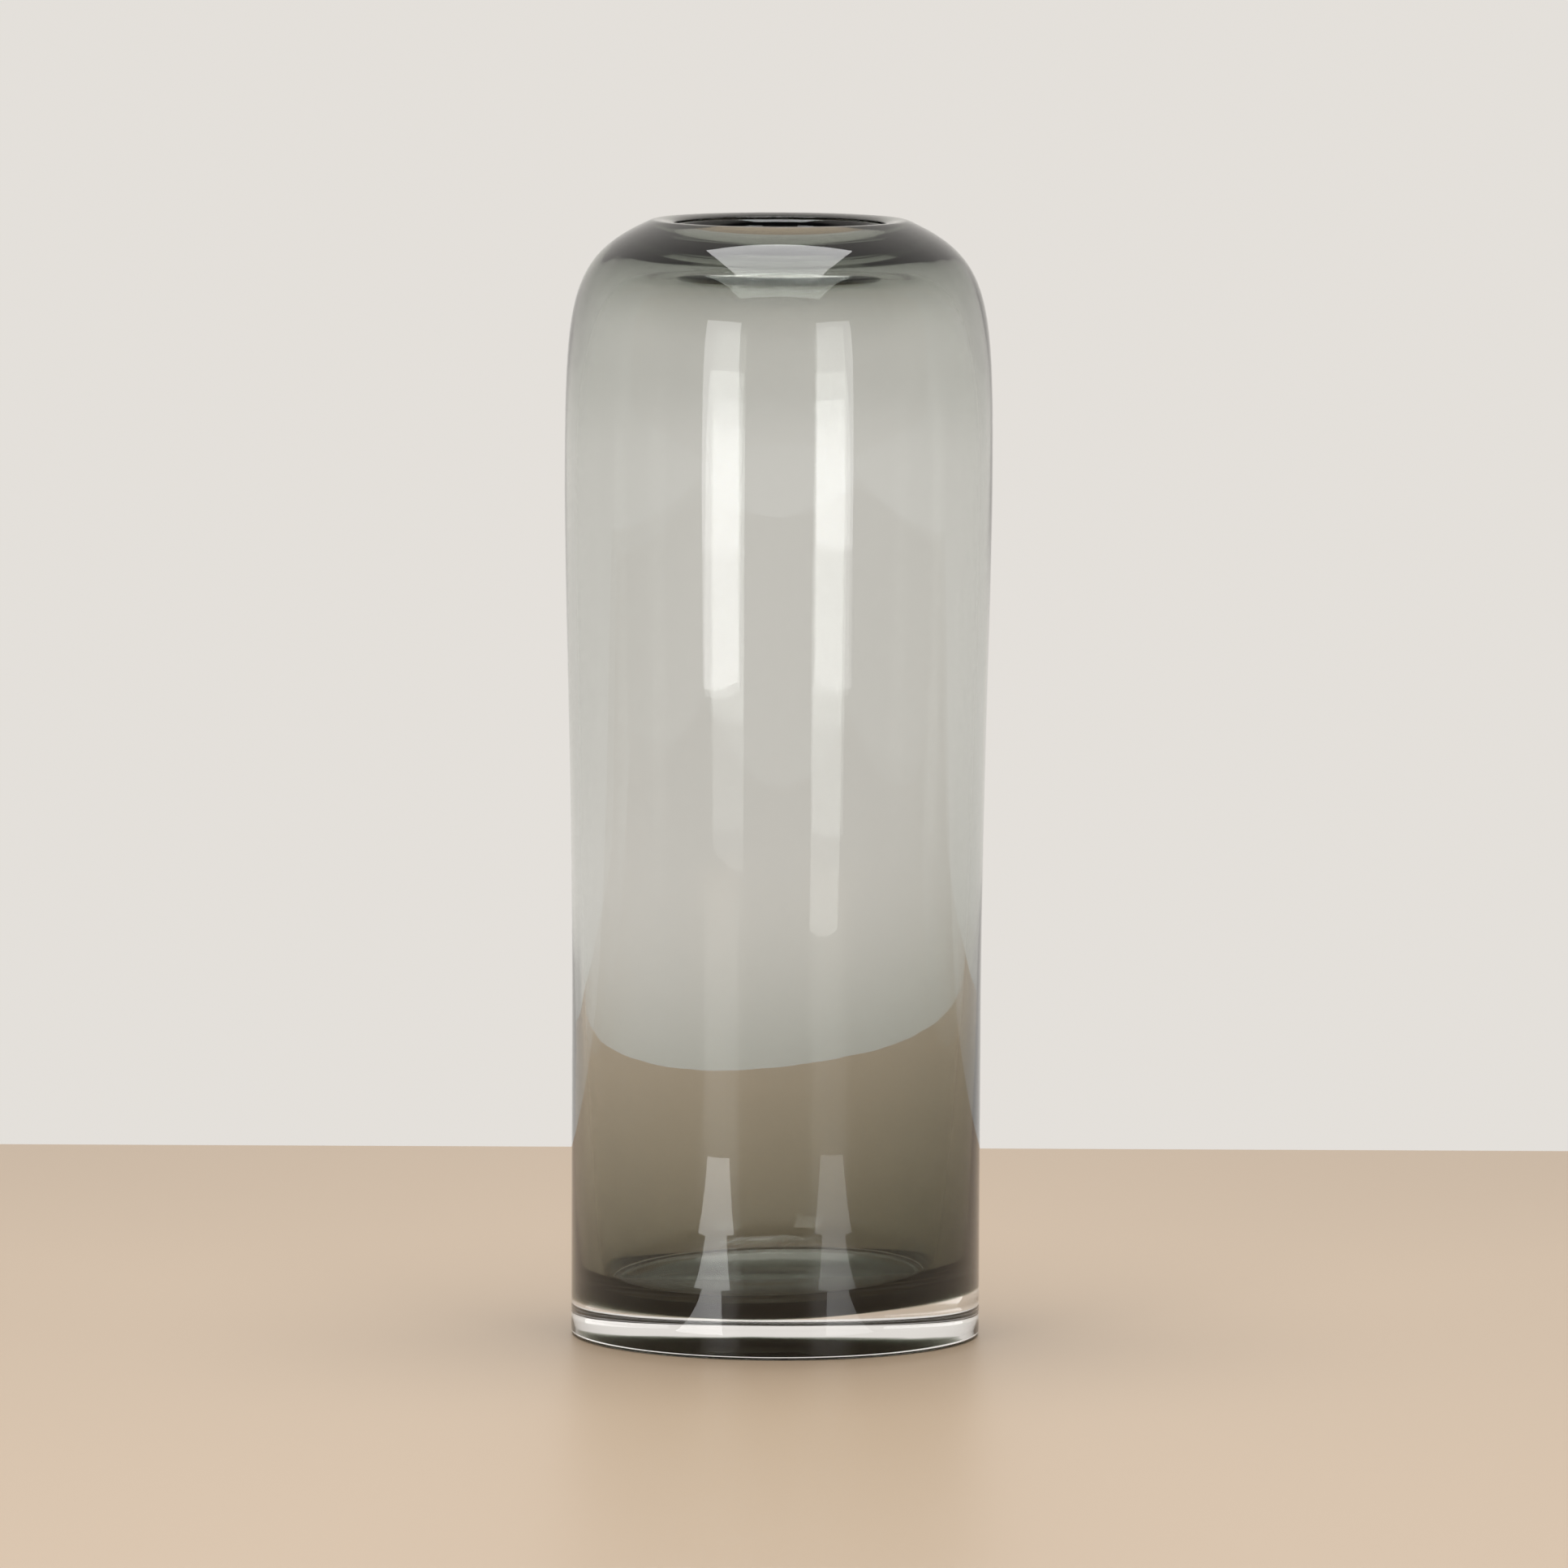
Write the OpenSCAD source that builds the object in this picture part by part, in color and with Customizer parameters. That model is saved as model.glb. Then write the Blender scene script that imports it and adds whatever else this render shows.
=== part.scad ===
// Cased glass cylinder vase, blown by hand.
// A smoke-grey bubble of glass is cased in clear glass, drawn out to a tall
// cylinder with a slight swell at the shoulder, and opened at the lip. The two
// layers are fused: the clear casing carries the heavy foot, and the smoke
// liner carries the inside wall.
// Millimetres, +Z up, origin on the resting plane under the middle of the foot.

/* [Overall size] */
// Height from the resting plane to the top of the lip
height = 340; // [290:1:420]
// Diameter of the straight lower wall
foot_d = 124.6; // [100:0.2:150]
// Largest diameter, at the swell under the shoulder
belly_d = 130; // [108:0.2:158]
// How far the largest diameter lies below the top of the lip
belly_drop = 78; // [60:1:100]
// Height of the straight lower wall
straight_h = 100; // [70:1:125]

/* [Lip] */
// Diameter of the ring that runs along the top of the lip
crest_d = 76; // [62:0.5:92]
// Clear opening of the mouth
mouth_d = 60.5; // [48:0.5:74]
// How far the narrowest line of the mouth reaches below the top of the lip
throat_drop = 4; // [3:0.1:8]
// How far the underside of the lip opens out, all round, below the mouth
throat_flare = 8.75; // [4:0.25:10]
// Thickness of the glass from the top of the lip down to its underside
crown = 12.8; // [9.5:0.1:16]
// Outside rounding of the lip
lip_r = 3.5; // [1.5:0.1:6]
// Angle at which the shoulder leaves the lip, down from level
lip_slope = 24; // [15:1:35]

/* [Glass layers] */
// Thickness of the clear casing on the side wall
casing_wall = 2.1; // [1:0.1:3]
// Extra thickness of the clear casing round the shoulder
casing_gather = 2.5; // [0:0.1:3]
// How far below the top of the lip that extra thickness is greatest
gather_drop = 22; // [18:1:30]
// Height over which it fades, upwards and downwards
gather_reach = 20; // [10:1:24]
// Thickness of the smoke liner on the side wall
smoke_wall = 1.4; // [0.8:0.1:3]
// Extra thickness of the smoke liner at the height of the lip
smoke_gather = 0.3; // [0:0.1:2]
// How much the smoke liner thickens for each millimetre down the lower wall
smoke_taper = 0.055; // [0:0.005:0.08]
// Height above the resting plane at which that thickening starts
taper_top = 120; // [90:1:150]
// Extra thickness of the smoke liner right above its lower edge
toe = 2.5; // [0:0.5:6]
// Height over which that extra thickness fades
toe_fade = 20; // [8:1:40]

/* [Foot] */
// Height of the smoke layer's lower edge above the resting plane
clear_foot = 12; // [9.5:0.5:20]
// How far the middle of the smoke layer sags below its edge
bubble_sag = 4.6; // [0:0.1:5]
// Rounding of the smoke layer's lower edge inside the foot
bubble_round = 5.5; // [2:0.5:9]
// Thickness of the smoke layer between that edge and the rim of the floor
smoke_floor = 3.5; // [2.5:0.5:8]
// How far the middle of the floor lies below its rim
floor_dish = 2.5; // [0:0.1:5]
// Rounding of the inside corner between floor and wall
floor_round = 8; // [5:0.5:20]
// Rounding of the outside edge of the foot
foot_round = 1.6; // [0.6:0.1:3]
// Width of the flat ring that the vase stands on
ring_w = 6; // [3:0.5:10]
// Depth of the shallow hollow ground into the underside
hollow = 2.8; // [0.5:0.1:3]

/* [Hidden] */
foot_rad = foot_d / 2;
belly_rad = belly_d / 2;
crest_rad = crest_d / 2;
mouth_rad = mouth_d / 2;
belly_z = height - belly_drop;
floor_z = clear_foot + smoke_floor;
swell_n = 14;
shoulder_n = 26;
crown_n = 20;
lip_n = 10;
corner_n = 10;
round_n = 8;
bowl_n = 10;

// A point on a curve with four control points, at t from 0 to 1
function on_curve(p, t) =
    pow(1 - t, 3) * p[0] + 3 * pow(1 - t, 2) * t * p[1]
    + 3 * (1 - t) * t * t * p[2] + pow(t, 3) * p[3];
// The direction of that curve at t, as a unit vector
function way_at(p, t) =
    let (d = 3 * pow(1 - t, 2) * (p[1] - p[0]) + 6 * (1 - t) * t * (p[2] - p[1])
             + 3 * t * t * (p[3] - p[2]))
    d / norm(d);
// Points along the curve, from from_i to to_i of n steps
function curve(p, n, from_i = 0, to_i = -1) =
    [for (i = [from_i : (to_i < 0 ? n : to_i)]) on_curve(p, i / n)];
// Points at a distance inside the curve; inside is to the left of an upward run
function inside(p, n, from_i, to_i, layers) =
    [for (i = [from_i : to_i])
        let (q = on_curve(p, i / n), w = way_at(p, i / n))
        q + depth(q[1], layers) * [-w[1], w[0]]];
// A ramp that starts softly: 0 below -soft, x above soft
function ramp(x, soft) = x <= -soft ? 0 : x >= soft ? x : pow(x + soft, 2) / (4 * soft);
// Thickness of the smoke liner at a height
function smoke_at(z) =
    smoke_wall + smoke_taper * ramp(taper_top - z, 30)
    + smoke_gather * pow(max(0, 2 * z / height - 1), 2)
    + toe * exp(-max(0, z - clear_foot) / toe_fade);
// Thickness of the clear casing at a height
function casing_at(z) =
    casing_wall + casing_gather * exp(-pow((z - height + gather_drop) / gather_reach, 2));
// Depth below the outside surface: 1 layer is the casing, 2 layers reach the inside
function depth(z, layers) = casing_at(z) + (layers > 1 ? smoke_at(z) : 0);
// A shallow bowl that leaves its rim level, from the middle out to just short of the rim
function bowl(radius, rim_z, deep) = [for (i = [0 : bowl_n - 1])
    [radius * i / bowl_n, rim_z - deep * pow(1 - pow(i / bowl_n, 2), 2)]];
function flip(list) = [for (i = [len(list) - 1 : -1 : 0]) list[i]];
function rounded(p, from, corner, to) = [from, from + p * (corner - from), to + p * (corner - to), to];

// The outside: straight wall, swell, shoulder, then the outer edge of the lip
swell = [[foot_rad, straight_h],
         [foot_rad, straight_h + 0.37 * (belly_z - straight_h)],
         [belly_rad, belly_z - 0.185 * (belly_z - straight_h)],
         [belly_rad, belly_z]];
lip_edge = [crest_rad + lip_r * sin(lip_slope), height - lip_r * (1 - cos(lip_slope))];
shoulder = [[belly_rad, belly_z],
            [belly_rad, belly_z + 0.705 * belly_drop],
            lip_edge + 1.055 * (belly_rad - lip_edge[0]) * [cos(lip_slope), -sin(lip_slope)],
            lip_edge];
lip_arc = [for (i = [1 : 4])
    let (a = lip_slope * (1 - i / 4))
    [crest_rad + lip_r * sin(a), height - lip_r * (1 - cos(a))]];

// The inside of the lip, from its top line round to the throat
nose_top = rounded(0.6, [crest_rad, height], [mouth_rad, height], [mouth_rad, height - throat_drop]);
// The underside of the lip, from the throat out to the ring where the cavity's roof begins
roof_ring = [mouth_rad + throat_flare, height - crown];
nose_under = [[mouth_rad, height - throat_drop],
              [mouth_rad, height - throat_drop - 0.6 * (crown - throat_drop)],
              [mouth_rad, height - crown],
              roof_ring];
// The cavity's roof, from the largest diameter up and in to that ring
roof_foot = [belly_rad - depth(belly_z, 2), belly_z];
roof = [roof_foot,
        roof_foot + [0, 0.75 * (roof_ring[1] - belly_z)],
        roof_ring + [0.6 * (roof_foot[0] - roof_ring[0]), 0],
        roof_ring];
// Where the join between the layers comes out on the lip
join_i = 6;
smoke_end = shoulder_n - 1;

// The join between casing and liner, from the middle of the foot to the lip
join_rad = foot_rad - casing_wall;
join_line = concat(
    bowl(join_rad - bubble_round, clear_foot, bubble_sag),
    curve(rounded(0.55, [join_rad - bubble_round, clear_foot], [join_rad, clear_foot],
                  [join_rad, clear_foot + bubble_round]), round_n),
    [[join_rad, straight_h]],
    inside(swell, swell_n, 1, swell_n, 1),
    inside(shoulder, shoulder_n, 1, smoke_end, 1),
    [on_curve(nose_top, join_i / lip_n)]);

// The inside of the vase, from the middle of the floor up to the throat
wall_z = floor_z + floor_round;
wall_rad = foot_rad - depth(wall_z, 2);
wall_run = [foot_rad - depth(wall_z + 10, 2) - wall_rad, 10];
floor_curve = [[wall_rad - floor_round, floor_z],
               [wall_rad - 0.45 * floor_round, floor_z],
               [wall_rad, wall_z] - 0.55 * floor_round * wall_run / norm(wall_run),
               [wall_rad, wall_z]];
cavity_line = concat(
    bowl(wall_rad - floor_round, floor_z, floor_dish),
    curve(floor_curve, corner_n),
    [for (i = [1 : 7]) let (z = wall_z + i * (straight_h - wall_z) / 7)
        [foot_rad - depth(z, 2), z]],
    inside(swell, swell_n, 1, swell_n, 2),
    curve(roof, crown_n, 1),
    flip(curve(nose_under, lip_n, 0, lip_n - 1)));

// The underside: rounded edge, flat ring, then a shallow hollow
ring_out = foot_rad - foot_round;
ring_in = ring_out - ring_w;
underside = concat(
    [for (i = [0 : round_n]) let (r = ring_in * i / round_n)
        [r, hollow * (1 - pow(r / ring_in, 2))]],
    [for (i = [0 : round_n]) let (a = 90 * i / round_n)
        [ring_out + foot_round * sin(a), foot_round * (1 - cos(a))]]);

// Clear glass: the outer gather and the heavy foot
module clear_glass_casing() {
    color([0.93, 0.95, 0.94, 0.35])
    rotate_extrude($fn = 180)
    polygon(concat(
        underside,
        [[foot_rad, straight_h]],
        curve(swell, swell_n, 1),
        curve(shoulder, shoulder_n, 1),
        lip_arc,
        curve(nose_top, lip_n, 1, join_i),
        flip([for (i = [0 : len(join_line) - 2]) join_line[i]])));
}

// Smoke-grey glass: the bubble that lines the vase
module smoke_glass_liner() {
    color([0.45, 0.43, 0.40, 0.6])
    rotate_extrude($fn = 180)
    polygon(concat(
        join_line,
        curve(nose_top, lip_n, join_i + 1),
        flip([for (i = [0 : len(cavity_line) - 2]) cavity_line[i]])));
}

clear_glass_casing();
smoke_glass_liner();
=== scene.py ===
# %% [markdown]
# # A cased glass vase
# This vase is one blown article in two layers of glass: a smoke-grey bubble,
# and a clear casing round it that carries a heavy clear foot. Glass shows
# nothing of its own. It shows what is behind it, bent by its thickness, and
# what is round it, mirrored by its skin. So this lesson spends its effort on
# three things: the true thickness of both layers, what happens where they are
# fused, and what the vase stands among.

# %% Load the frame
import math

import bpy
import numpy as np
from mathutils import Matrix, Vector


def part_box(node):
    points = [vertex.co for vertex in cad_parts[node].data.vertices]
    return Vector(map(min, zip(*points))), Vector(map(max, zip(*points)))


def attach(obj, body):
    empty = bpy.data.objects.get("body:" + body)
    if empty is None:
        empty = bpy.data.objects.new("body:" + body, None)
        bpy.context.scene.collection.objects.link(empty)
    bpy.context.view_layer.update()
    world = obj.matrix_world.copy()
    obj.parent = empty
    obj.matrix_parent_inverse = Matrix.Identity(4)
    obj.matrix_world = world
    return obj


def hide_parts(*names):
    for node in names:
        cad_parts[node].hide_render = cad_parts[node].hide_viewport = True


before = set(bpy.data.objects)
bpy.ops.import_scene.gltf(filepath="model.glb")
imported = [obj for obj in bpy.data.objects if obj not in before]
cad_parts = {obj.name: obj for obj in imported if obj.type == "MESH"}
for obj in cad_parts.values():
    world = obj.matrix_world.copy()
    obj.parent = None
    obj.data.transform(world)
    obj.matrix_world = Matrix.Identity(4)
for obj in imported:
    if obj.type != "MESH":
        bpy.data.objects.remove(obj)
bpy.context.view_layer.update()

# %% [markdown]
# ## The camera
# A vase in a catalogue is seen from far off and a little above its rim, so its
# sides stay upright and the mouth is a slim ellipse. A long lens does that. The
# camera is turned a quarter of a degree about its own axis, as a hand-held one is.

# %% Place the camera
camera_data = bpy.data.cameras.new("camera")
camera = bpy.data.objects.new("camera", camera_data)
bpy.context.scene.collection.objects.link(camera)
bpy.context.scene.camera = camera
camera_data.sensor_width = 36
camera_data.lens = 324.8
camera.location = (0.0024, -4.28, 0.594)
camera.rotation_euler = (math.radians(84.319), math.radians(-0.25), math.radians(0.03))
print("the lens sees", round(math.degrees(camera_data.angle), 2), "degrees")

# %% [markdown]
# ## The sizes of the vase
# The same named sizes shape the CAD model, there in millimetres. The height and
# the largest radius are read from the frame, so the two cannot drift apart.

# %% Sizes in metres
MM = 0.001
box_low, box_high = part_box("clear_glass_casing")
height = box_high[2]
belly_rad = (box_high[0] - box_low[0]) / 2
belly_z = height - 78 * MM
foot_rad = 62.3 * MM
straight_h = 100 * MM
crest_rad = 38 * MM
mouth_rad = 30.25 * MM
throat_drop = 4 * MM
throat_flare = 8.75 * MM
crown = 12.8 * MM
lip_r = 3.5 * MM
lip_slope = math.radians(24)
print("height", height, "largest radius", belly_rad)

# %% Thickness of the glass, in metres
casing_wall = 2.1 * MM
casing_gather = 2.5 * MM
gather_drop = 22 * MM
gather_reach = 20 * MM
smoke_wall = 1.4 * MM
smoke_gather = 0.3 * MM
smoke_taper = 0.055
taper_top = 120 * MM
toe = 2.5 * MM
toe_fade = 20 * MM
clear_foot = 12 * MM
bubble_sag = 4.6 * MM
bubble_round = 5.5 * MM
smoke_floor = 3.5 * MM
floor_dish = 2.5 * MM
floor_round = 8 * MM
foot_round = 1.6 * MM
ring_w = 6 * MM
hollow = 2.8 * MM
print("side wall", casing_wall + smoke_wall, "foot under the smoke", clear_foot)

# %% [markdown]
# ## Drawing with curves
# Hot glass has no straight arcs. A curve with two end points and two handles,
# the kind every drawing program has, follows a blown outline with few numbers.
# The helpers below give points along such a curve and the way it runs there.

# %% Curve helpers
def point(radius, z):
    """A point of the profile: its distance from the axis and its height."""
    return Vector((radius, z))


def on_curve(p, t):
    """The point at t, from 0 to 1, on a curve with four control points."""
    a, b, c, d = p
    u = 1 - t
    return a * u**3 + b * 3 * u**2 * t + c * 3 * u * t**2 + d * t**3


def way_at(p, t):
    """The direction of that curve at t, one unit long."""
    a, b, c, d = p
    u = 1 - t
    return ((b - a) * 3 * u**2 + (c - b) * 6 * u * t + (d - c) * 3 * t**2).normalized()


def curve(p, steps, first=0, last=None):
    """Points along the curve, from step first to step last of steps."""
    last = steps if last is None else last
    return [on_curve(p, i / steps) for i in range(first, last + 1)]


def rounded(share, start, corner, end):
    """The four points of a curve that rounds a corner."""
    return [start, start + (corner - start) * share, end + (corner - end) * share, end]


def bowl(radius, rim_z, deep, steps=12):
    """A shallow bowl from the middle out, level in the middle and at its rim."""
    shares = [i / steps for i in range(steps)]
    return [point(radius * s, rim_z - deep * (1 - s**2) ** 2) for s in shares]


def upright(radius, low, high, steps):
    """Evenly spaced points up a straight wall, without its lowest point."""
    return [point(radius, low + (high - low) * i / steps) for i in range(1, steps + 1)]


# %% [markdown]
# ## How thick the layers are
# The layers differ in thickness, and that decides the look: tint deepens with
# every millimetre of smoke glass. The liner is thin at mid height. It thickens
# towards the floor, where the hot bubble sagged, and a little towards the lip.
# The clear casing is even on the wall and heaviest in the shoulder, where the
# vase was turned in. Two layers inside the outer curve lies the cavity.

# %% Thickness helpers
def ramp(x, soft):
    """0 below -soft and x above soft, with a soft start between them."""
    if x <= -soft:
        return 0.0
    return x if x >= soft else (x + soft) ** 2 / (4 * soft)


def smoke_at(z):
    """Thickness of the smoke liner at a height."""
    low = smoke_taper * ramp(taper_top - z, 30 * MM)
    high = smoke_gather * max(0.0, 2 * z / height - 1) ** 2
    return smoke_wall + low + high + toe * math.exp(-max(0.0, z - clear_foot) / toe_fade)


def casing_at(z):
    """Thickness of the clear casing at a height."""
    away = (z - height + gather_drop) / gather_reach
    return casing_wall + casing_gather * math.exp(-(away**2))


def depth(z, layers):
    """How far inside the outer surface the first or the second layer ends."""
    return casing_at(z) + (smoke_at(z) if layers > 1 else 0.0)


def inside(p, steps, first, last, layers):
    """Points one or two layers inside a curve, square to it."""
    out = []
    for i in range(first, last + 1):
        q, w = on_curve(p, i / steps), way_at(p, i / steps)
        out.append(q + Vector((-w.y, w.x)) * depth(q.y, layers))
    return out


print("smoke at mid height", smoke_at(height / 2), "and above the floor", smoke_at(0.02))

# %% [markdown]
# ## The outer line
# The outside rises straight from the foot, swells to its largest diameter, and
# turns over a full shoulder to the lip. It is drawn from the middle of the
# underside outwards: the shallow ground hollow, the flat ring that the vase
# stands on, the wall, the shoulder, and the first part of the lip.

# %% Draw the outside
SWELL, SHOULDER, LIP, CORNER = 22, 34, 14, 12
rise = belly_z - straight_h
swell = [
    point(foot_rad, straight_h),
    point(foot_rad, straight_h + 0.37 * rise),
    point(belly_rad, belly_z - 0.185 * rise),
    point(belly_rad, belly_z),
]


def lip_point(angle):
    """A point on the rounded outer edge of the lip, at an angle from its top."""
    return point(crest_rad + lip_r * math.sin(angle), height - lip_r * (1 - math.cos(angle)))


lip_edge = lip_point(lip_slope)
slope_way = Vector((math.cos(lip_slope), -math.sin(lip_slope)))
shoulder = [
    point(belly_rad, belly_z),
    point(belly_rad, belly_z + 0.705 * (height - belly_z)),
    lip_edge + slope_way * 1.055 * (belly_rad - lip_edge.x),
    lip_edge,
]
lip_arc = [lip_point(lip_slope * (1 - i / 4)) for i in range(1, 5)]
nose_top = rounded(
    0.6,
    point(crest_rad, height),
    point(mouth_rad, height),
    point(mouth_rad, height - throat_drop),
)
join_i = round(LIP * 0.6)
print("lip edge at", tuple(lip_edge))

# %% Draw the underside and put the outer line together
ring_out = foot_rad - foot_round
ring_in = ring_out - ring_w
ground_hollow = [point(ring_in * i / 12, hollow * (1 - (i / 12) ** 2)) for i in range(13)]
ring = [point(ring_in + ring_w * share, 0) for share in (0.06, 0.5, 0.94)]
edge_angles = [math.radians(90 * i / 6) for i in range(7)]
foot_edge = [
    point(ring_out + foot_round * math.sin(a), foot_round * (1 - math.cos(a)))
    for a in edge_angles
]
outer_line = (
    ground_hollow
    + ring
    + foot_edge
    + upright(foot_rad, foot_round, straight_h, 12)
    + curve(swell, SWELL, 1)
    + curve(shoulder, SHOULDER, 1)
    + lip_arc
    + curve(nose_top, LIP, 1, join_i)
)
print("outer line:", len(outer_line), "points")

# %% [markdown]
# ## The join and the cavity
# The join between the two glasses runs one layer inside: across the foot, where
# the smoke bubble sags in the middle, up the wall, and out at the lip. The
# cavity's line runs two layers inside, with a dished floor and a tight corner.
# Under the lip the glass is much heavier than the wall. The roof of the cavity
# leaves the outer curve at the largest diameter and turns in early. The wedge
# of glass over it makes the dark crescents at the shoulder.

# %% Draw the join
join_rad = foot_rad - casing_wall
join_corner = rounded(
    0.55,
    point(join_rad - bubble_round, clear_foot),
    point(join_rad, clear_foot),
    point(join_rad, clear_foot + bubble_round),
)
join_line = (
    bowl(join_rad - bubble_round, clear_foot, bubble_sag)
    + curve(join_corner, 8)
    + upright(join_rad, clear_foot + bubble_round, straight_h, 10)
    + inside(swell, SWELL, 1, SWELL, 1)
    + inside(shoulder, SHOULDER, 1, SHOULDER - 1, 1)
    + [on_curve(nose_top, join_i / LIP)]
)
print("join:", len(join_line), "points")

# %% Draw the cavity
ROOF_RISE, ROOF_TURN = 0.75, 0.6
floor_z = clear_foot + smoke_floor
wall_z = floor_z + floor_round
wall_rad = foot_rad - depth(wall_z, 2)
wall_way = point(foot_rad - depth(wall_z + 10 * MM, 2) - wall_rad, 10 * MM).normalized()
floor_corner = [
    point(wall_rad - floor_round, floor_z),
    point(wall_rad - 0.45 * floor_round, floor_z),
    point(wall_rad, wall_z) - wall_way * 0.55 * floor_round,
    point(wall_rad, wall_z),
]
low_wall = [
    point(foot_rad - depth(p.y, 2), p.y) for p in upright(0, wall_z, straight_h, 14)
]
roof_ring = point(mouth_rad + throat_flare, height - crown)
roof_foot = point(belly_rad - depth(belly_z, 2), belly_z)
roof = [
    roof_foot,
    roof_foot + Vector((0, ROOF_RISE * (roof_ring.y - belly_z))),
    roof_ring + Vector((ROOF_TURN * (roof_foot.x - roof_ring.x), 0)),
    roof_ring,
]
throat = point(mouth_rad, height - throat_drop)
nose_under = [
    throat,
    throat - Vector((0, 0.6 * (crown - throat_drop))),
    point(mouth_rad, height - crown),
    roof_ring,
]
cavity_line = (
    bowl(wall_rad - floor_round, floor_z, floor_dish)
    + curve(floor_corner, CORNER)
    + low_wall
    + inside(swell, SWELL, 1, SWELL, 2)
    + curve(roof, SHOULDER, 1)
    + curve(nose_under, LIP, 0, LIP - 1)[::-1]
)
print("cavity:", len(cavity_line), "points, floor at", floor_z)

# %% [markdown]
# ## Two pieces that nearly touch
# In the real vase the layers are one mass. Here each is a closed piece of its
# own, so the join is two surfaces. If both lay in the same place, the renderer
# could not tell which comes first, so the liner's copy is moved in by three
# hundredths of a millimetre.

# %% Move a line sideways
JOIN_GAP = 0.03 * MM


def shift_line(line, gap):
    """Moves each point of a line by a gap, to the left of the way it runs."""
    out = []
    for i, p in enumerate(line):
        before, after = line[max(i - 1, 0)], line[min(i + 1, len(line) - 1)]
        w = (after - before).normalized()
        out.append(point(p.x - w.y * gap if p.x > 0 else 0.0, p.y + w.x * gap))
    return out


liner_join = shift_line(join_line, JOIN_GAP)
casing_line = outer_line + join_line[::-1]
liner_line = liner_join + curve(nose_top, LIP, join_i + 1) + cavity_line[::-1]
print("casing", len(casing_line), "points, liner", len(liner_line), "points")

# %% [markdown]
# ## Spinning a line into glass
# A glassblower turns the pipe without a stop, and everything on it comes out
# round. Blender's Spin does the same. A plane is merged to one point at the
# start of the line, that point is extruded along the line, and the line is spun
# round the axis. The start and the end lie on the axis, so merging doubles
# closes both poles, and then the faces are turned to point outwards.

# %% Spin helper
STEPS = 96


def deselect_all():
    """Leaves edit mode and selects nothing, because operators act on all that is selected."""
    if bpy.context.object and bpy.context.object.mode != "OBJECT":
        bpy.ops.object.mode_set(mode="OBJECT")
    bpy.ops.object.select_all(action="DESELECT")


def spin(name, line):
    """A closed piece of revolution round the Z axis."""
    deselect_all()
    bpy.ops.mesh.primitive_plane_add(size=10 * MM, location=(0, 0, 0))
    piece = bpy.context.object
    piece.name = name
    bpy.ops.object.mode_set(mode="EDIT")
    bpy.ops.mesh.select_all(action="SELECT")
    bpy.ops.mesh.merge(type="CENTER")
    bpy.ops.transform.translate(value=(line[0].x, 0, line[0].y))
    for a, b in zip(line, line[1:]):
        step = (b.x - a.x, 0, b.y - a.y)
        bpy.ops.mesh.extrude_region_move(TRANSFORM_OT_translate={"value": step})
    bpy.ops.mesh.select_all(action="SELECT")
    bpy.ops.mesh.spin(steps=STEPS, angle=2 * math.pi, center=(0, 0, 0), axis=(0, 0, 1))
    bpy.ops.mesh.select_all(action="SELECT")
    bpy.ops.mesh.remove_doubles(threshold=0.004 * MM)
    bpy.ops.mesh.normals_make_consistent(inside=False)
    bpy.ops.object.mode_set(mode="OBJECT")
    bpy.ops.object.shade_smooth()
    print(name, len(piece.data.vertices), "points", len(piece.data.polygons), "faces")
    return piece


# %% Spin both pieces
casing = spin("clear_casing", casing_line)
liner = spin("smoke_liner", liner_line)

# %% [markdown]
# ## Which faces meet air
# Where glass meets air, light bends by the full strength of glass. Where the
# two glasses are fused, it goes straight on. Both kinds of face are on one
# piece, so an attribute on the faces says which is which: 1 at the air, 0 on
# the join. Each mesh point is matched to its nearest point of the drawn line,
# and a face is on the join if all of its points are.

# %% Mark the join
def nearest_line_point(piece, line):
    """For each point of the mesh, the number of the nearest point of its line."""
    places = np.empty(len(piece.data.vertices) * 3)
    piece.data.vertices.foreach_get("co", places)
    places = places.reshape(-1, 3)
    flat = np.column_stack((np.hypot(places[:, 0], places[:, 1]), places[:, 2]))
    drawn = np.array([tuple(p) for p in line])
    return np.argmin(((flat[:, None, :] - drawn[None, :, :]) ** 2).sum(axis=2), axis=1)


def mark_join(piece, line, first, last):
    """Writes meets_air: 0 on faces whose points all lie from first to last of the line."""
    number = nearest_line_point(piece, line)
    on_join = (number >= first) & (number <= last)
    values = [0.0 if all(on_join[v] for v in f.vertices) else 1.0 for f in piece.data.polygons]
    mark = piece.data.attributes.new("meets_air", "FLOAT", "FACE")
    mark.data.foreach_set("value", values)
    print(piece.name, "join faces", values.count(0.0), "air faces", values.count(1.0))


join_start = len(outer_line) - 1
mark_join(casing, casing_line, join_start, len(casing_line) - 1)
mark_join(liner, liner_line, 0, len(liner_join) - 1)

# %% [markdown]
# ## The marks of the hand
# No blown vase is perfectly even. This one's smoke bubble hangs a little higher
# on one side of the foot, and its cavity sits off the axis there, so the wall
# is heavier on the other side. The inside wall also has slow waves, a tenth or
# two of a millimetre high, that bend straight reflections a little. The outer
# skin keeps its size: its waves only go inwards, and they are far weaker.

# %% Lean and waves
LEAN = math.tan(math.radians(1.9))
LEAN_TOP = 110 * MM
OFFSET = 1.2 * MM
OFFSET_TOP = 200 * MM
WALL_OFFSET = 0.12 * MM
SKIN_WAVES = 0.05 * MM
WALL_WAVES = 0.22 * MM


def fade(z, top):
    """1 at the smoke layer's lower edge, falling smoothly to 0 at the height top."""
    s = np.clip((top - z) / (top - clear_foot), 0, 1)
    return s * s * (3 - 2 * s)


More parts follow.
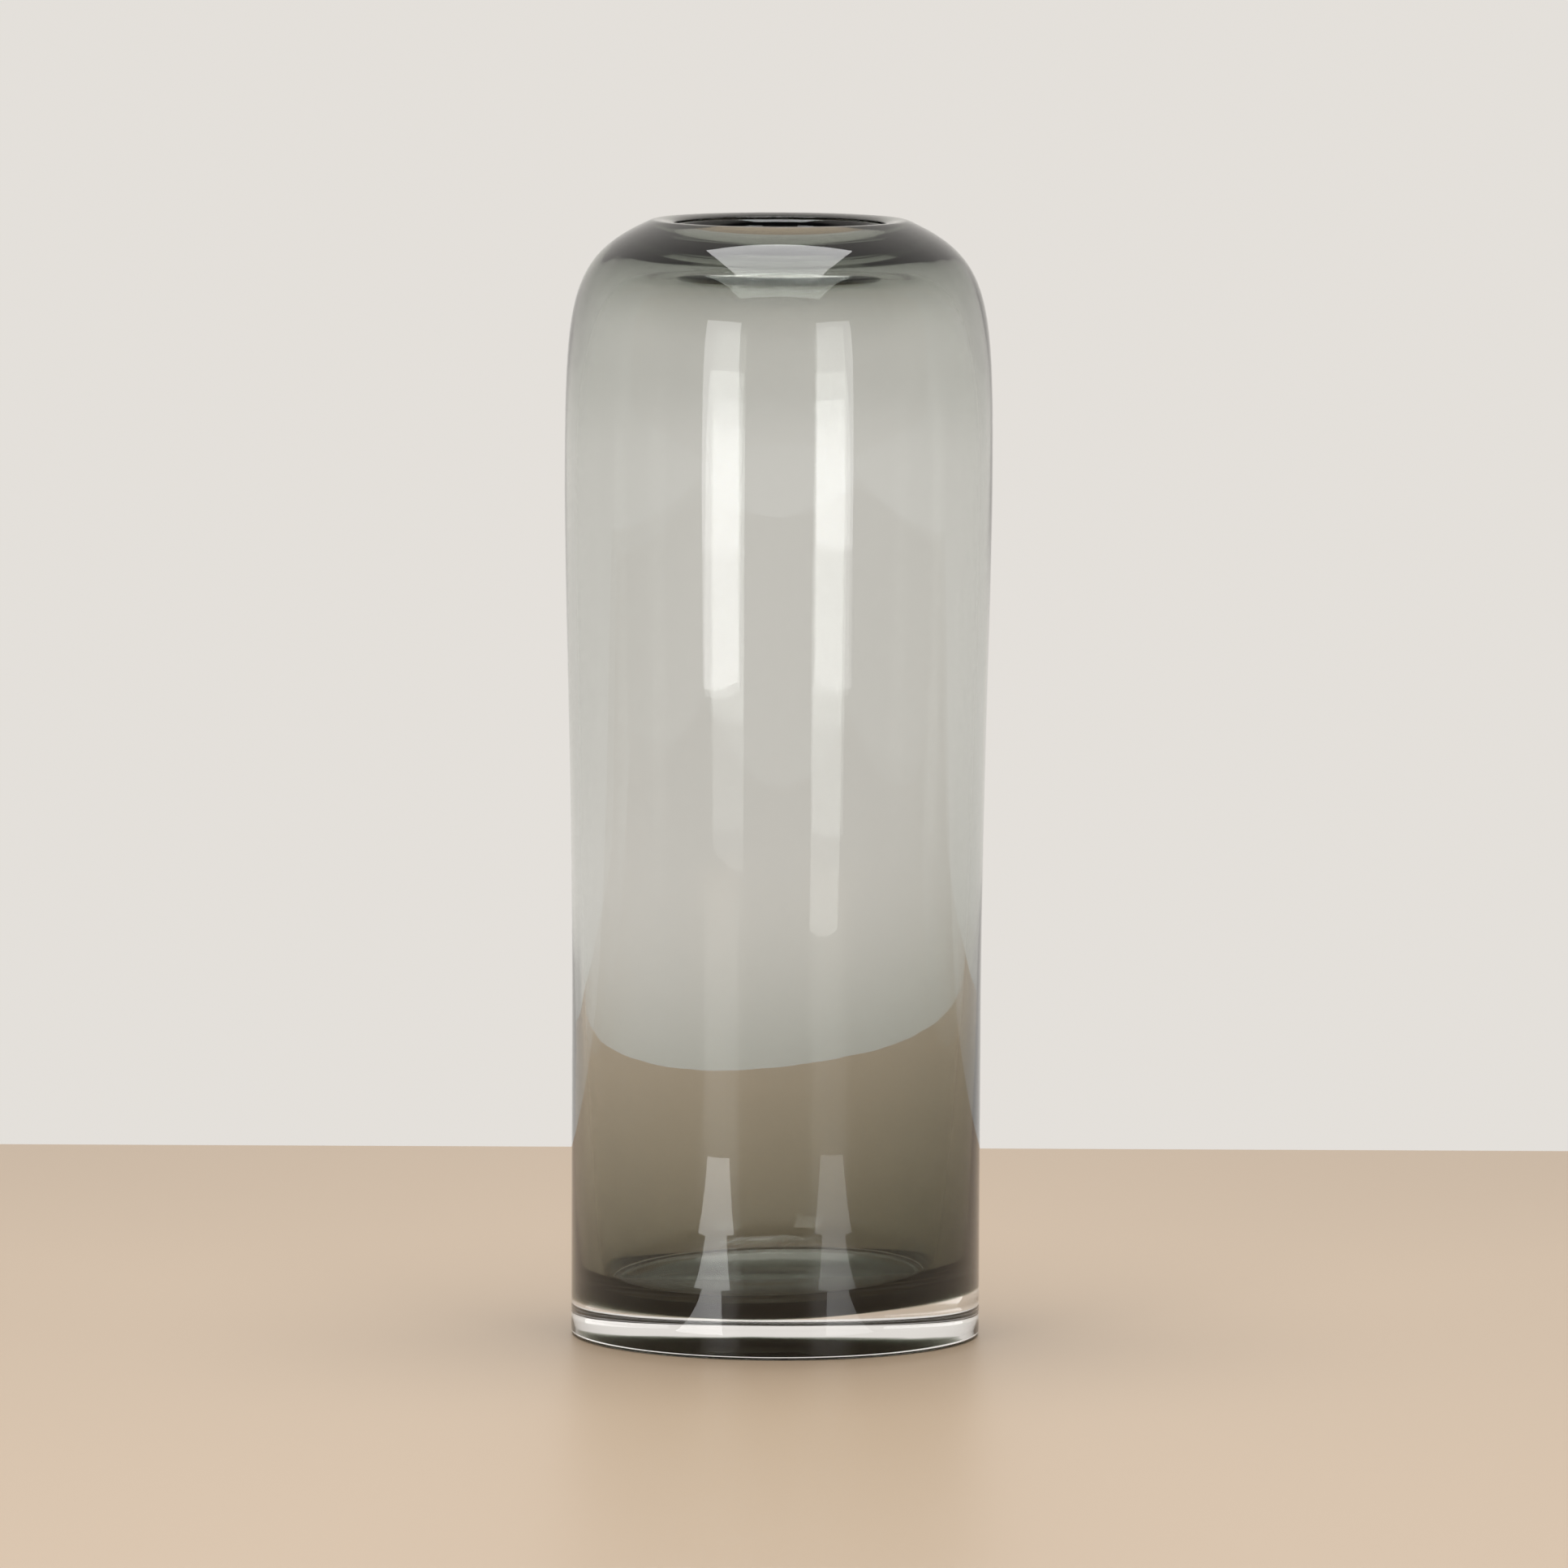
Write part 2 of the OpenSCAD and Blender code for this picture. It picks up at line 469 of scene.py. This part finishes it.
def waves(angle, z, deep):
    """Slow unevenness round the wall and up it, from 0 to deep."""
    a = np.sin(2 * angle + 9 * z + 0.6)
    b = np.sin(5 * angle - 31 * z + 2.1)
    c = np.sin(3 * angle + 47 * z + 4.0)
    return deep * (0.5 + (0.5 * a + 0.3 * b + 0.2 * c) / 2)


def work_by_hand(piece, line, skin, join):
    """Moves the points of the join, the cavity and the skin by small, smooth amounts."""
    number = nearest_line_point(piece, line)
    places = np.empty(len(piece.data.vertices) * 3)
    piece.data.vertices.foreach_get("co", places)
    places = places.reshape(-1, 3)
    x, y, z = places.T.copy()
    radius, angle = np.hypot(x, y), np.arctan2(y, x)
    on_skin = (number >= skin[0]) & (number <= skin[1])
    on_join = (number >= join[0]) & (number <= join[1])
    in_cavity = ~on_skin & ~on_join
    free_skin = on_skin & (z > 3 * MM) & (z < height - 12 * MM)
    inward = np.where(free_skin, waves(angle, z, SKIN_WAVES), 0)
    low = (z > floor_z) & (z < height - crown - 2 * MM)
    inward = np.where(in_cavity & low, waves(angle + 1.3, z, WALL_WAVES), inward)
    scale = np.where(radius > 0, 1 - inward / np.maximum(radius, MM), 1)
    places[:, 0], places[:, 1] = x * scale, y * scale
    shift = OFFSET * fade(z, OFFSET_TOP) + WALL_OFFSET * fade(z, height - crown)
    places[:, 0] -= np.where(in_cavity & (z < height - crown), shift, 0)
    places[:, 2] += np.where(on_skin, 0, x * LEAN * fade(z, LEAN_TOP))
    piece.data.vertices.foreach_set("co", places.reshape(-1))
    piece.data.update()
    print(piece.name, "moved", on_join.sum(), "join and", in_cavity.sum(), "cavity points")


work_by_hand(casing, casing_line, (0, join_start - 1), (join_start, len(casing_line)))
lip_end = len(liner_join) + LIP - join_i - 1
work_by_hand(liner, liner_line, (len(liner_join), lip_end), (0, len(liner_join) - 1))

# %% [markdown]
# ## Smoothing and riding
# One level of subdivision turns the spun rings into smooth glass, so no facet
# shows in a reflection. Each piece then rides on the vase's only body and stands
# for its CAD solid, which is hidden.

# %% Subdivide and hand over
PIECES = (
    (casing, "clear_glass_casing", "clear_glass"),
    (liner, "smoke_glass_liner", "smoke_glass"),
)
for piece, node, slot in PIECES:
    deselect_all()
    piece.select_set(True)
    bpy.context.view_layer.objects.active = piece
    smooth = piece.modifiers.new("smooth", "SUBSURF")
    smooth.levels = smooth.render_levels = 1
    bpy.ops.object.modifier_apply(modifier=smooth.name)
    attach(piece, "root")
    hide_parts(node)
    print(piece.name, len(piece.data.polygons), "faces")

# %% [markdown]
# ## The skin of blown glass
# Fire leaves glass smooth but not flat. A slow ripple runs over it, drawn out
# along the height where the glass was stretched, and under it lies a far finer
# orange-peel. Handling adds faint smears. One node group holds all of that, and
# each glass places it with its own values. It puts out a height for a Bump node
# and a roughness, both made from Object coordinates, so nothing slides.

# %% Node helpers
def new_group(name, inputs, outputs):
    """An empty shader node group with float sockets."""
    group = bpy.data.node_groups.new(name, "ShaderNodeTree")
    for label, value in inputs:
        socket = group.interface.new_socket(label, in_out="INPUT", socket_type="NodeSocketFloat")
        socket.default_value = value
    for label in outputs:
        group.interface.new_socket(label, in_out="OUTPUT", socket_type="NodeSocketFloat")
    return group, group.nodes.new("NodeGroupInput"), group.nodes.new("NodeGroupOutput")


def add_math(tree, operation, a, b):
    """A Math node; a and b are sockets or numbers."""
    node = tree.nodes.new("ShaderNodeMath")
    node.operation = operation
    for socket, value in zip(node.inputs, (a, b)):
        if isinstance(value, (int, float)):
            socket.default_value = value
        else:
            tree.links.new(value, socket)
    return node.outputs[0]


def add_noise(tree, place, scale, detail):
    """A Noise texture on a place socket, at a number of waves per metre."""
    node = tree.nodes.new("ShaderNodeTexNoise")
    node.inputs["Scale"].default_value = scale
    node.inputs["Detail"].default_value = detail
    tree.links.new(place, node.inputs["Vector"])
    return node.outputs["Fac"]


# %% Build the group
skin, skin_in, skin_out = new_group(
    "blown_skin",
    (("Ripple", 1.0), ("Peel", 1.0), ("Smear", 0.02), ("Polish", 0.0)),
    ("Height", "Roughness"),
)
coords = skin.nodes.new("ShaderNodeTexCoord").outputs["Object"]
stretch = skin.nodes.new("ShaderNodeMapping")
stretch.inputs["Scale"].default_value = (1, 1, 0.16)
skin.links.new(coords, stretch.inputs["Vector"])
ripple = add_noise(skin, stretch.outputs[0], 55, 1)
peel = add_noise(skin, coords, 620, 2)
smears = add_noise(skin, stretch.outputs[0], 30, 6)
ripple_h = add_math(skin, "MULTIPLY", ripple, skin_in.outputs["Ripple"])
peel_h = add_math(skin, "MULTIPLY", peel, skin_in.outputs["Peel"])
skin.links.new(add_math(skin, "ADD", ripple_h, peel_h), skin_out.inputs["Height"])
patches = add_math(skin, "MAXIMUM", add_math(skin, "SUBTRACT", smears, 0.52), 0.0)
smear_r = add_math(skin, "MULTIPLY", patches, skin_in.outputs["Smear"])
skin.links.new(
    add_math(skin, "ADD", smear_r, skin_in.outputs["Polish"]), skin_out.inputs["Roughness"]
)
print("group", skin.name, "with", len(skin.nodes), "nodes")

# %% [markdown]
# ## The ground ring
# A vase is set on a flat wheel when it has cooled, and its foot is ground and
# then stands on a matt ring, scratched in time by every table it is slid over.
# The rest of the foot keeps the fire's polish. The mask below is 1 only where
# the surface is lower than a few tenths of a millimetre.

# %% Ground ring group
ground, ground_in, ground_out = new_group(
    "ground_ring", (("Reach", 0.0004), ("Matt", 0.4)), ("Height", "Roughness")
)
place = ground.nodes.new("ShaderNodeTexCoord").outputs["Object"]
split = ground.nodes.new("ShaderNodeSeparateXYZ")
ground.links.new(place, split.inputs[0])
mask = add_math(ground, "LESS_THAN", split.outputs["Z"], ground_in.outputs["Reach"])
grit = add_noise(ground, place, 4200, 3)
scratches = ground.nodes.new("ShaderNodeTexWave")
scratches.wave_type = "RINGS"
scratches.rings_direction = "Z"
scratches.inputs["Scale"].default_value = 480
scratches.inputs["Distortion"].default_value = 5
ground.links.new(place, scratches.inputs["Vector"])
marks = add_math(ground, "MULTIPLY", scratches.outputs["Fac"], 0.4)
ground_h = add_math(ground, "ADD", grit, marks)
ground.links.new(add_math(ground, "MULTIPLY", ground_h, mask), ground_out.inputs["Height"])
matt = add_math(ground, "MULTIPLY", mask, ground_in.outputs["Matt"])
ground.links.new(
    add_math(ground, "MULTIPLY", matt, add_math(ground, "ADD", grit, 0.5)),
    ground_out.inputs["Roughness"],
)
print("group", ground.name, "with", len(ground.nodes), "nodes")

# %% [markdown]
# ## Clear glass and smoke glass
# Both are the same soda glass, with an index of 1.5. On the join the index is
# driven down to 1, which lets light pass unbent. The clear glass has no colour
# at all, because its base colour is pure white. The smoke glass is coloured by
# an absorbing volume, not by its surface, so a thick place is darker than a
# thin one, as it is in the real glass.

# %% Glass helper
GLASS_INDEX = 1.5


def glass(name, ripple_size, peel_size, smear, polish):
    """Glass with a blown skin; returns the material, its shader and a Height socket."""
    material = bpy.data.materials.new(name)
    material.use_nodes = True
    tree = material.node_tree
    shader = tree.nodes["Principled BSDF"]
    shader.inputs["Base Color"].default_value = (1, 1, 1, 1)
    shader.inputs["Metallic"].default_value = 0
    shader.inputs["Transmission Weight"].default_value = 1
    shader.inputs["IOR"].default_value = GLASS_INDEX
    meets_air = tree.nodes.new("ShaderNodeAttribute")
    meets_air.attribute_name = "meets_air"
    extra = add_math(tree, "MULTIPLY", meets_air.outputs["Fac"], GLASS_INDEX - 1)
    tree.links.new(add_math(tree, "ADD", extra, 1.0), shader.inputs["IOR"])
    group = tree.nodes.new("ShaderNodeGroup")
    group.node_tree = skin
    for label, value in zip(("Ripple", "Peel", "Smear", "Polish"),
                            (ripple_size, peel_size, smear, polish)):
        group.inputs[label].default_value = value
    return material, shader, group


def add_bump(material, shader, height_socket, distance):
    """Feeds a height through a Bump node to the shader's normal."""
    tree = material.node_tree
    bump = tree.nodes.new("ShaderNodeBump")
    bump.inputs["Strength"].default_value = 1
    bump.inputs["Distance"].default_value = distance
    tree.links.new(height_socket, bump.inputs["Height"])
    tree.links.new(bump.outputs["Normal"], shader.inputs["Normal"])


# %% Clear glass
clear, clear_shader, clear_skin = glass("clear_glass", 1.0, 0.006, 0.12, 0.002)
foot = clear.node_tree.nodes.new("ShaderNodeGroup")
foot.node_tree = ground
clear_height = add_math(
    clear.node_tree, "ADD", clear_skin.outputs["Height"],
    add_math(clear.node_tree, "MULTIPLY", foot.outputs["Height"], 0.25),
)
add_bump(clear, clear_shader, clear_height, 0.10 * MM)
clear_rough = add_math(
    clear.node_tree, "MAXIMUM", clear_skin.outputs["Roughness"], foot.outputs["Roughness"]
)
clear.node_tree.links.new(clear_rough, clear_shader.inputs["Roughness"])
casing.data.materials.append(clear)

# %% Smoke glass
SMOKE_DENSITY = 225
SMOKE_COLOUR = (0.56, 0.586, 0.548, 1)
smoke, smoke_shader, smoke_skin = glass("smoke_glass", 1.0, 0.004, 0.10, 0.002)
add_bump(smoke, smoke_shader, smoke_skin.outputs["Height"], 0.10 * MM)
smoke.node_tree.links.new(smoke_skin.outputs["Roughness"], smoke_shader.inputs["Roughness"])
tint = smoke.node_tree.nodes.new("ShaderNodeVolumeAbsorption")
tint.inputs["Color"].default_value = SMOKE_COLOUR
tint.inputs["Density"].default_value = SMOKE_DENSITY
smoke.node_tree.links.new(
    tint.outputs["Volume"], smoke.node_tree.nodes["Material Output"].inputs["Volume"]
)
liner.data.materials.append(smoke)
through = [math.exp(-(1 - c) * SMOKE_DENSITY * smoke_wall) for c in SMOKE_COLOUR[:3]]
print("one thin smoke wall lets through", [round(t, 2) for t in through])

# %% [markdown]
# ## The table and the wall
# Glass needs something to stand on and something to be seen against. A pale
# board ends a little way behind the vase, and beyond it there is only a pale
# wall. Seen through the vase, the far edge of the board climbs, because the
# wall of the vase is a weak prism that grows thicker downwards.

# %% Pale board
BOARD_WIDTH, BOARD_THICK = 5.0, 0.04
BOARD_FRONT, BOARD_BACK = -2.6, 0.453
deselect_all()
bpy.ops.mesh.primitive_cube_add(size=1, location=(0, 0, 0))
board = bpy.context.object
board.name = "pale_board"
board.scale = (BOARD_WIDTH, BOARD_BACK - BOARD_FRONT, BOARD_THICK)
board.location = (0, (BOARD_BACK + BOARD_FRONT) / 2, -BOARD_THICK / 2)
bpy.ops.object.transform_apply(location=True, rotation=True, scale=True)
board_look = bpy.data.materials.new("pale_board")
board_look.use_nodes = True
board_shader = board_look.node_tree.nodes["Principled BSDF"]
board_shader.inputs["Base Color"].default_value = (0.53, 0.402, 0.283, 1)
board_shader.inputs["Roughness"].default_value = 0.38
board.data.materials.append(board_look)
print("board from", tuple(board.bound_box[0]), "to", tuple(board.bound_box[6]))

# %% [markdown]
# ## Soft light with a dark side
# Glass that is lit evenly from all sides looks like fog. A studio hangs a dark
# cloth behind the camera, so the lip and the shoulder mirror something dark and
# their edges are drawn. The wall's light comes from all round but is held back
# high up on the camera's side. What the camera sees directly stays plain wall.

# %% Wall light
WALL = (0.775, 0.745, 0.705, 1)
DARK = (0.05, 0.05, 0.052, 1)
room = bpy.data.worlds.new("room")
bpy.context.scene.world = room
room.use_nodes = True
sky = room.node_tree
background = sky.nodes["Background"]
way = sky.nodes.new("ShaderNodeSeparateXYZ")
sky.links.new(sky.nodes.new("ShaderNodeTexCoord").outputs["Generated"], way.inputs[0])


def soft_step(value, low, high):
    """0 below low, 1 above high, and smooth between them."""
    node = sky.nodes.new("ShaderNodeMapRange")
    node.interpolation_type = "SMOOTHSTEP"
    node.inputs["From Min"].default_value = low
    node.inputs["From Max"].default_value = high
    sky.links.new(value, node.inputs["Value"])
    return node.outputs["Result"]


camera_side = soft_step(add_math(sky, "MULTIPLY", way.outputs["Y"], -1.0), 0.0, 0.5)
high_up = soft_step(way.outputs["Z"], 0.04, 0.30)
cloth = add_math(sky, "MULTIPLY", camera_side, high_up)
seen = sky.nodes.new("ShaderNodeLightPath").outputs["Is Camera Ray"]
cloth = add_math(sky, "MULTIPLY", cloth, add_math(sky, "SUBTRACT", 1.0, seen))
mix = sky.nodes.new("ShaderNodeMix")
mix.data_type = "RGBA"
sky.links.new(cloth, mix.inputs["Factor"])
mix.inputs["A"].default_value = WALL
mix.inputs["B"].default_value = DARK
sky.links.new(mix.outputs["Result"], background.inputs["Color"])
background.inputs["Strength"].default_value = 1.0

# %% [markdown]
# ## Two windows and a skylight
# Two tall soft boxes stand in front, one to each side. A cylinder squeezes each
# into a narrow upright bar of light. The left one is the brighter, and each has
# a weaker box under it, so its bar fades out down the wall instead of ending.
# A wide soft box hangs overhead. It lights the board, and the sloping shoulder
# mirrors it as a pale patch in front of the mouth.

# %% Soft box helper
def soft_box(name, place, turn, size, radiance):
    """A rectangle of light of an even radiance, out of the camera's sight."""
    deselect_all()
    bpy.ops.object.light_add(type="AREA", location=place)
    lamp = bpy.context.object
    lamp.name = name
    lamp.rotation_euler = turn
    lamp.data.shape = "RECTANGLE"
    lamp.data.size, lamp.data.size_y = size
    lamp.data.energy = radiance * size[0] * size[1] * math.pi
    lamp.visible_camera = False
    print(name, "at", place, "size", size)
    return lamp


# %% Window lights
WINDOW_DISTANCE = 1.16
WINDOW_WIDTH = 0.40
SILL_LOW, SILL_TOP, WINDOW_TOP = 0.05, 0.117, 0.69


def window_light(name, azimuth, low, high, radiance):
    """An upright soft box that faces the vase, from a low to a high edge."""
    x = WINDOW_DISTANCE * math.sin(azimuth)
    y = -WINDOW_DISTANCE * math.cos(azimuth)
    turn = (math.radians(90), 0, azimuth)
    soft_box(name, (x, y, (low + high) / 2), turn, (WINDOW_WIDTH, high - low), radiance)


LEFT, RIGHT = math.radians(-30.6), math.radians(30)
window_light("left_window", LEFT, SILL_TOP, WINDOW_TOP, 3.9)
window_light("left_window_sill", LEFT, SILL_LOW, SILL_TOP, 3.0)
window_light("right_window", RIGHT, SILL_TOP, WINDOW_TOP, 3.1)
window_light("right_window_sill", RIGHT, SILL_LOW, SILL_TOP, 1.6)

# %% Skylight
SKYLIGHT_PLACE = (0, -0.07, 1.34)
SKYLIGHT_SIZE = (0.76, 0.86)
soft_box("skylight", SKYLIGHT_PLACE, (0, 0, 0), SKYLIGHT_SIZE, 6.0)

# %% [markdown]
# ## Light lying on the board
# A satin board shines where it mirrors a window at a flat angle. The foot and
# the lowest part of the wall mirror that sheen. Three cards of light on each
# side, flat on the board and out of the camera's sight, stand in for it. They
# widen with distance, so the wall squeezes them into a bar of an even width.
# Only the outer skin mirrors them: looking through the glass doesn't show them.

# %% Cards of light
CARDS = (0.1, 0.2, 0.036), (0.2, 0.33, 0.065), (0.33, 0.53, 0.11)
CARD_HEIGHT = 2 * MM


def light_cards(name, azimuth, radiance):
    """Cards flat on the board that shine up, in a row away from the vase."""
    for i, (near, far, width) in enumerate(CARDS):
        middle = (near + far) / 2
        place = (middle * math.sin(azimuth), -middle * math.cos(azimuth), CARD_HEIGHT)
        turn = (math.radians(180), 0, azimuth)
        card = soft_box(f"{name}_{i}", place, turn, (width, far - near), radiance)
        card.visible_transmission = False


light_cards("left_card", LEFT, 3.6)
light_cards("right_card", RIGHT, 1.6)

# %% [markdown]
# ## Room for long light paths
# In the lip a ray may be turned back a dozen times before it gets out. The
# default of twelve bounces would cut it off and leave false black patches.

# %% Light paths
scene = bpy.context.scene
scene.cycles.max_bounces = 48
scene.cycles.transmission_bounces = 48
scene.cycles.transparent_max_bounces = 48
scene.cycles.glossy_bounces = 16
scene.view_settings.view_transform = "Standard"
